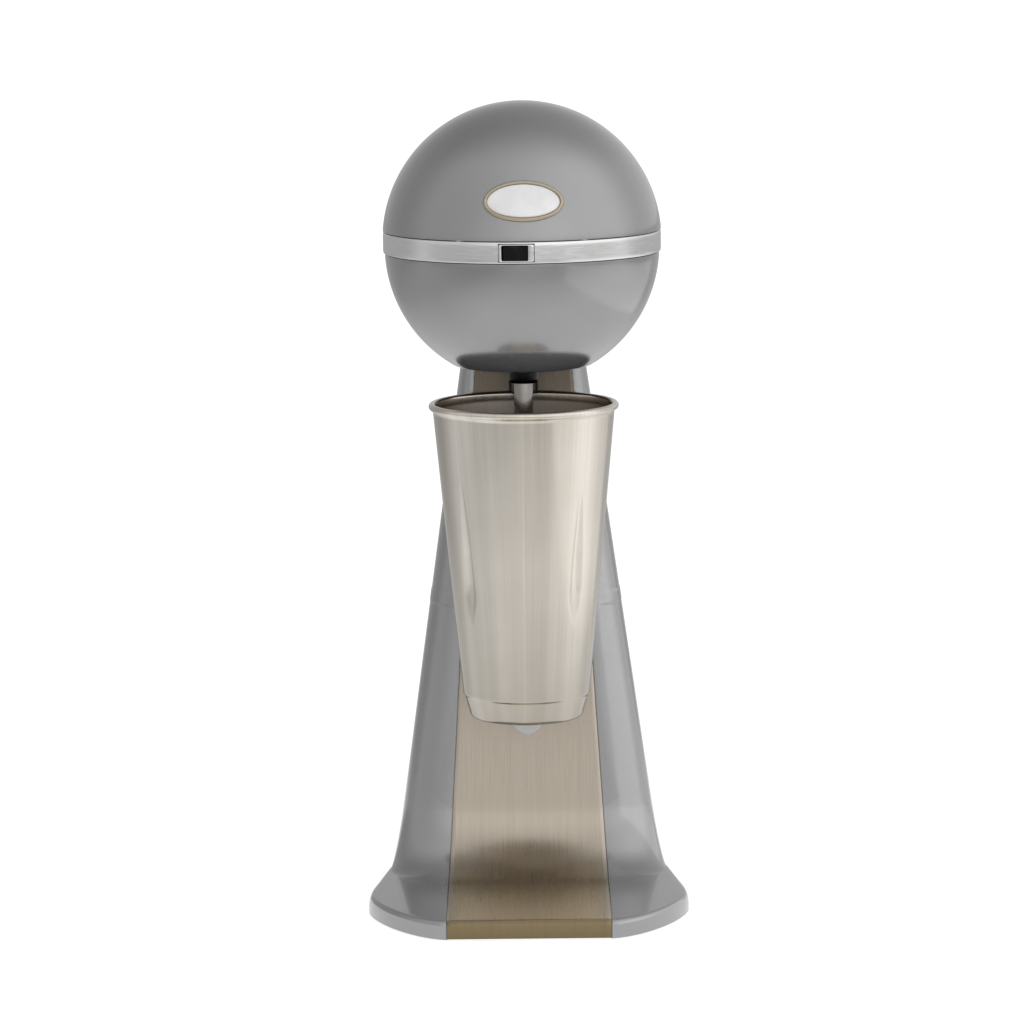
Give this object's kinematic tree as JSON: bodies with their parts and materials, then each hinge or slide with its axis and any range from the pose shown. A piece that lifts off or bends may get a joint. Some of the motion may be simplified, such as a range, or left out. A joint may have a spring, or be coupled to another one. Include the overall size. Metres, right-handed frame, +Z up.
{
  "type": "milkshake mixer",
  "caption": "Counter-top milkshake mixer: ball-shaped motor head on a tapered stand with a long toe, steel mixing cup hung around the spindle, rocker switch in the trim band.",
  "frame": {"origin": "on the table under the middle of the stand", "axes": "+Z up, -Y towards the user, +X to the right of the front view"},
  "size_m": [0.177, 0.194, 0.4474],
  "materials": {
    "paint": "gloss metallic",
    "brushed_steel": "brushed",
    "cup_steel": "satin polish",
    "polished_steel": "polished",
    "band_metal": "satin",
    "badge_metal": "brushed",
    "enamel": "gloss",
    "black_plastic": "gloss",
    "black_metal": "semi-gloss",
    "rubber": "matte",
    "nylon": "satin",
    "zinc": "plated",
    "bearing_steel": "ground",
    "lamination": "rough",
    "copper": "enamelled wire",
    "casting": "as cast"
  },
  "bodies": {
    "stand": {"stand_body": "paint", "front_plate": "brushed_steel", "base_cover": "black_metal", "cup_rest": "nylon", "cord_gland": "rubber", "terminal_block": "nylon", "neck_bracket": "casting", "upper_dome": "paint", "lower_dome": "paint", "trim_band": "band_metal", "badge_bezel": "badge_metal", "badge_plate": "enamel", "switch_bezel": "band_metal", "switch_housing": "black_plastic", "spindle_collar": "black_plastic", "cup_hook": "black_metal", "stator_core": "lamination", "lower_bracket": "casting", "upper_bracket": "casting", "lower_bearing": "bearing_steel", "upper_bearing": "bearing_steel", "capacitor": "nylon", "rubber_foot_1": "rubber", "foot_screw_1": "zinc", "cover_screw_1": "zinc", "rubber_foot_2": "rubber", "foot_screw_2": "zinc", "cover_screw_2": "zinc", "rubber_foot_3": "rubber", "foot_screw_3": "zinc", "cover_screw_3": "zinc", "rubber_foot_4": "rubber", "foot_screw_4": "zinc", "cover_screw_4": "zinc", "head_screw_1": "zinc", "standoff_1": "casting", "head_screw_2": "zinc", "standoff_2": "casting", "head_screw_3": "zinc", "standoff_3": "casting", "neck_bolt_1": "zinc", "hook_screw_1": "zinc", "field_coil_1": "copper", "through_bolt_1": "zinc", "brush_1": "badge_metal", "neck_bolt_2": "zinc", "hook_screw_2": "zinc", "field_coil_2": "copper", "through_bolt_2": "zinc", "brush_2": "badge_metal"},
    "rotor": {"armature_core": "lamination", "commutator": "copper", "motor_shaft": "bearing_steel", "fan": "black_plastic", "coupling": "casting", "spindle": "polished_steel", "agitator": "polished_steel"},
    "rocker": {"switch_rocker": "black_plastic"},
    "cup": {"mixing_cup": "cup_steel"}
  },
  "joints": [
    {"name": "spindle_spin", "type": "hinge", "parent": "stand", "child": "rotor", "pos_m": [0, -0.009, 0.352], "axis": [0, 0, 1], "continuous": true},
    {"name": "rocker_tilt", "type": "hinge", "parent": "stand", "child": "rocker", "pos_m": [-0.00376, -0.08391, 0.371], "axis": [0, 0, 1], "range_deg": [-14, 0]},
    {"name": "cup_lift", "type": "slide", "parent": "stand", "child": "cup", "axis": [0, 0, 1], "range_m": [0, 0.012]}
  ]
}
